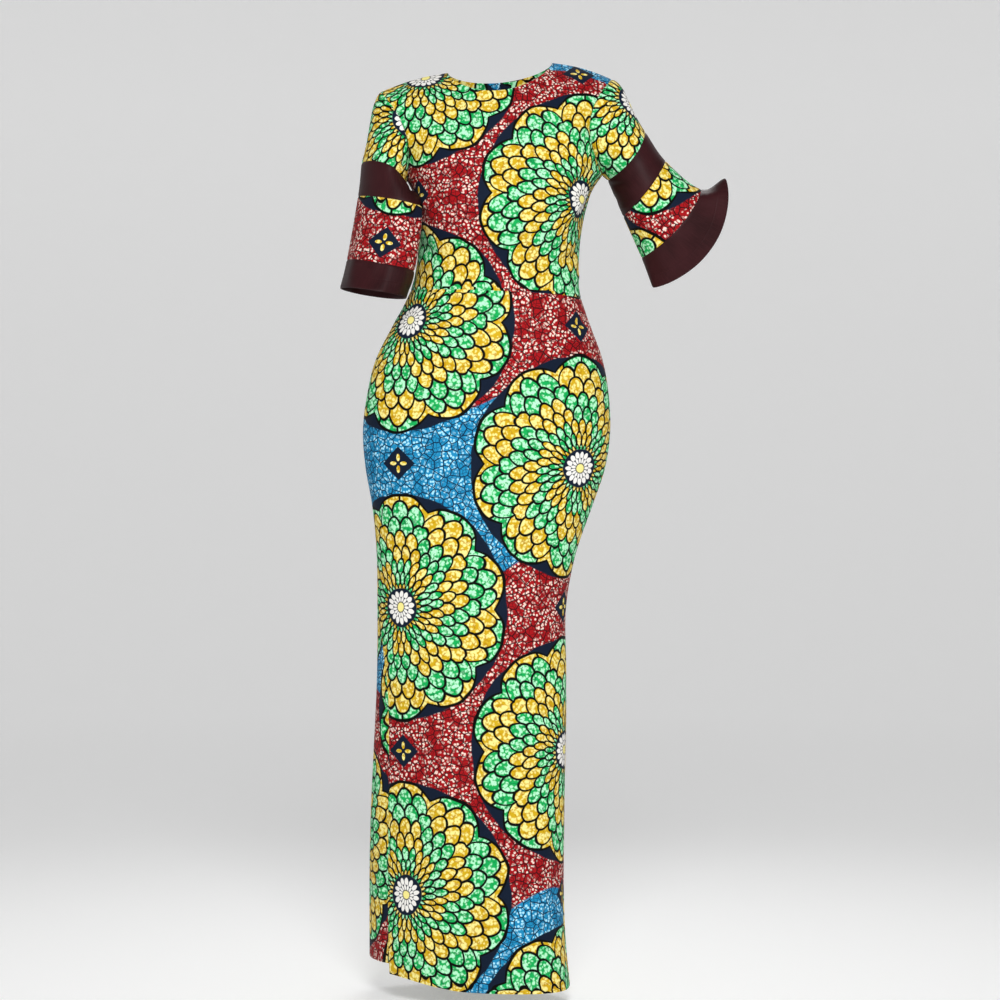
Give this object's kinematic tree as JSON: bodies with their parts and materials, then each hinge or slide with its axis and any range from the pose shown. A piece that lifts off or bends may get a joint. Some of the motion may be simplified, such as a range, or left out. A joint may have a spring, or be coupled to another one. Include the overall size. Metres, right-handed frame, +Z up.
{
  "type": "ankara wax print dress",
  "caption": "Fitted floor-length ankara wax print dress, hollow as worn, with a round neck, elbow-length sleeves and plain brown bands and flared cuffs.",
  "frame": {"origin": "between the two shoulder seams, at the height where the wearer's shoulders carry the dress", "axes": "+Z up, along the wearer's height; +X to the wearer's left; the front faces -Y"},
  "size_m": [0.5997, 0.2765, 1.4299],
  "materials": {
    "wax_print": "printed cotton, plain weave, slight wax sheen, green, gold, navy, red and blue",
    "brown_satin": "plain dark brown satin-faced cotton"
  },
  "bodies": {
    "root": {"front_bodice": "wax_print", "back_bodice_left": "wax_print", "back_bodice_right": "wax_print", "front_skirt": "wax_print", "back_skirt_left": "wax_print", "back_skirt_right": "wax_print", "sleeve_left_cap": "wax_print", "sleeve_left_band": "brown_satin", "sleeve_left_lower": "wax_print", "sleeve_left_cuff": "brown_satin", "sleeve_right_cap": "wax_print", "sleeve_right_band": "brown_satin", "sleeve_right_lower": "wax_print", "sleeve_right_cuff": "brown_satin"}
  },
  "joints": []
}
